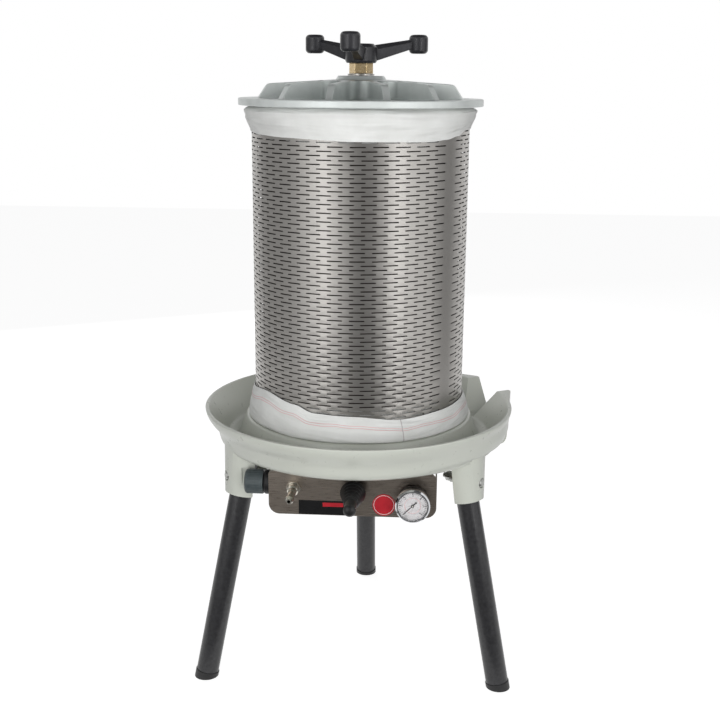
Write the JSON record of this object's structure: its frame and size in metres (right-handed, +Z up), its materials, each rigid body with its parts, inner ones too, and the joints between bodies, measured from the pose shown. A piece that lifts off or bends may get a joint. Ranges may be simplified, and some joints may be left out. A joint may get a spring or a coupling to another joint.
{
  "type": "pneumatic fruit press",
  "caption": "Free-standing fruit press: slotted steel basket with a filter bag, ribbed lid and star handle over a bladder, on a spouted tray with legs and an air panel.",
  "frame": {"origin": "on the floor, under the press axis", "axes": "+Z up along the press axis; -Y towards the user, the side with the control panel; +X to the user's right"},
  "size_m": [0.4872, 0.5265, 0.9636],
  "materials": {
    "grey_enamel": "semi-gloss",
    "dark_paint": "hammered",
    "black_plastic": "matte",
    "zinc_steel": "plated",
    "stainless_steel": "brushed",
    "cast_aluminium": "cast",
    "black_handle": "semi-gloss",
    "slate_plastic": "moulded",
    "black_rubber": "matte",
    "nickel_brass": "nickel plated",
    "chrome": "polished",
    "dial_white": "matte",
    "clear_glass": "clear",
    "white_cloth": "woven",
    "brass": "turned"
  },
  "bodies": {
    "stand": {"tray": "grey_enamel", "leg_left": "dark_paint", "leg_right": "dark_paint", "leg_rear": "dark_paint", "foot_cap_left": "black_plastic", "foot_cap_right": "black_plastic", "foot_cap_rear": "black_plastic", "leg_bolts": "zinc_steel", "leg_washers": "zinc_steel", "leg_nuts": "zinc_steel", "center_post": "stainless_steel", "post_nut_lower": "zinc_steel", "post_nut_upper": "zinc_steel", "bladder_base": "cast_aluminium", "bladder_cap": "cast_aluminium", "core_tube": "stainless_steel", "bladder": "black_rubber", "clamp_band_lower": "stainless_steel", "clamp_band_upper": "stainless_steel", "air_port": "nickel_brass", "valve_barb": "nickel_brass", "air_hose": "black_rubber", "inlet_tube": "nickel_brass", "gauge_tube": "nickel_brass", "panel": "stainless_steel", "panel_screws": "zinc_steel", "regulator_body": "cast_aluminium", "regulator_bonnet": "black_plastic", "inlet_nut": "nickel_brass", "air_inlet_nipple": "nickel_brass", "valve_body": "nickel_brass", "valve_collar": "black_plastic", "lever_pivot": "stainless_steel", "gauge_case": "black_plastic", "gauge_bezel": "chrome", "gauge_dial": "dial_white", "gauge_arbor": "nickel_brass", "gauge_window": "clear_glass", "gauge_stem": "nickel_brass"},
    "basket": {"basket": "stainless_steel", "hoop_lower": "stainless_steel", "hoop_upper": "stainless_steel", "filter_bag": "white_cloth"},
    "lid": {"lid": "cast_aluminium"},
    "washer": {"thrust_washer": "stainless_steel"},
    "handle": {"brass_nut": "brass", "star_handle": "black_handle"},
    "knob": {"regulator_knob": "slate_plastic"},
    "lever": {"lever_rod": "stainless_steel", "lever_boot": "black_rubber", "lever_grip": "black_rubber"},
    "pointer": {"gauge_pointer": "black_plastic"}
  },
  "joints": [
    {"name": "basket_lift", "type": "slide", "parent": "stand", "child": "basket", "axis": [0, 0, 1], "range_m": [0, 0.56]},
    {"name": "lid_lift", "type": "slide", "parent": "basket", "child": "lid", "axis": [0, 0, 1], "range_m": [0, 0.12]},
    {"name": "handle_rise", "type": "slide", "parent": "lid", "child": "washer", "axis": [0, 0, 1], "range_m": [0, 0.04001]},
    {"name": "handle_spin", "type": "hinge", "parent": "washer", "child": "handle", "pos_m": [0, 0, 0.92], "axis": [0, 0, 1], "range_deg": [0, 3600]},
    {"name": "regulator_turn", "type": "hinge", "parent": "stand", "child": "knob", "pos_m": [-0.14, -0.141, 0.326], "axis": [-1, 0, 0], "range_deg": [0, 1440]},
    {"name": "valve_tilt", "type": "hinge", "parent": "stand", "child": "lever", "pos_m": [0.004, -0.16, 0.325], "axis": [1, 0, 0], "range_deg": [-12, 12]},
    {"name": "pointer_sweep", "type": "hinge", "parent": "stand", "child": "pointer", "pos_m": [0.09, -0.187, 0.313], "axis": [0, 1, 0], "range_deg": [0, 270]}
  ],
  "couplings": [
    {"joint": "handle_rise", "follows": "handle_spin", "m_per_rad": 0.00063662}
  ]
}
